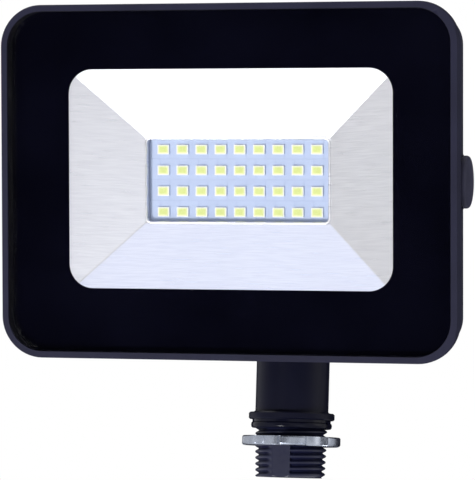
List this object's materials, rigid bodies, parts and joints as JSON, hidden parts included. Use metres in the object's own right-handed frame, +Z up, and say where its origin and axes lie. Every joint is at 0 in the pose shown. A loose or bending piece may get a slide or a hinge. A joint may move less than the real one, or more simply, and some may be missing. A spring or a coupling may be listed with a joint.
{
  "type": "flood light",
  "caption": "Outdoor LED flood light: finned rectangular head with a glass front on a toothed tilting knuckle, with a half-inch threaded stem, rubber seal and lock nut.",
  "frame": {"origin": "on the stem axis, in the plane of the flange's underside", "axes": "+Z up the stem towards the head, -Y the way the light faces, +X along the pivot bolt to the photocell's side"},
  "size_m": [0.1363, 0.0796, 0.1333],
  "materials": {
    "cast_powder_coat": "dark bronze-black powder coat on die-cast aluminium",
    "window_glass": "clear tempered glass",
    "border_ink": "black ceramic ink fired on the back of the glass",
    "silicone": "soft black silicone",
    "reflector_sheet": "bright brushed reflector sheet",
    "board_mask": "white solder mask on an aluminium-core board",
    "led_body": "white package plastic",
    "phosphor": "cured yellow phosphor",
    "gap_pad": "soft grey heat-conducting pad",
    "screw_steel": "zinc-plated steel",
    "chip_plastic": "black moulding compound",
    "fuse_body": "brown lacquered body",
    "varistor_coat": "blue epoxy coat",
    "terminal_plastic": "off-white nylon",
    "lens_plastic": "smoked acrylic",
    "sensor_resin": "amber sensor resin",
    "nut_plastic": "black nylon",
    "lead_sheath": "soft white wire sheath",
    "seal_rubber": "glossy black rubber",
    "zinc_nut": "bright zinc-plated steel"
  },
  "bodies": {
    "base": {"base_knuckle": "cast_powder_coat", "pivot_bolt": "screw_steel", "pivot_washer": "screw_steel", "stem_seal": "seal_rubber"},
    "head": {"housing": "cast_powder_coat", "glass_pane": "window_glass", "glass_border": "border_ink", "glass_seal": "silicone", "reflector": "reflector_sheet", "reflector_screws": "screw_steel", "led_board": "board_mask", "led_packages": "led_body", "led_phosphors": "phosphor", "thermal_pad": "gap_pad", "board_screws": "screw_steel", "driver_chips": "chip_plastic", "rectifier_bridge": "chip_plastic", "fuse": "fuse_body", "varistor": "varistor_coat", "input_terminal": "terminal_plastic", "photocell_lens": "lens_plastic", "photocell_seal": "silicone", "photocell_sensor": "sensor_resin", "photocell_nut": "nut_plastic", "photocell_leads": "lead_sheath", "wire_grommet": "seal_rubber", "arm_seal": "silicone", "rear_arm": "cast_powder_coat", "arm_screws": "screw_steel", "pivot_nut": "screw_steel"},
    "lock_nut": {"lock_nut": "zinc_nut"}
  },
  "joints": [
    {"name": "head_tilt", "type": "hinge", "parent": "base", "child": "head", "pos_m": [0, 0, 0.0377], "axis": [1, 0, 0], "range_deg": [-97.5, 20]},
    {"name": "lock_nut_travel", "type": "slide", "parent": "base", "child": "lock_nut", "axis": [0, 0, 1], "range_m": [-0.009, 0.0023]}
  ]
}
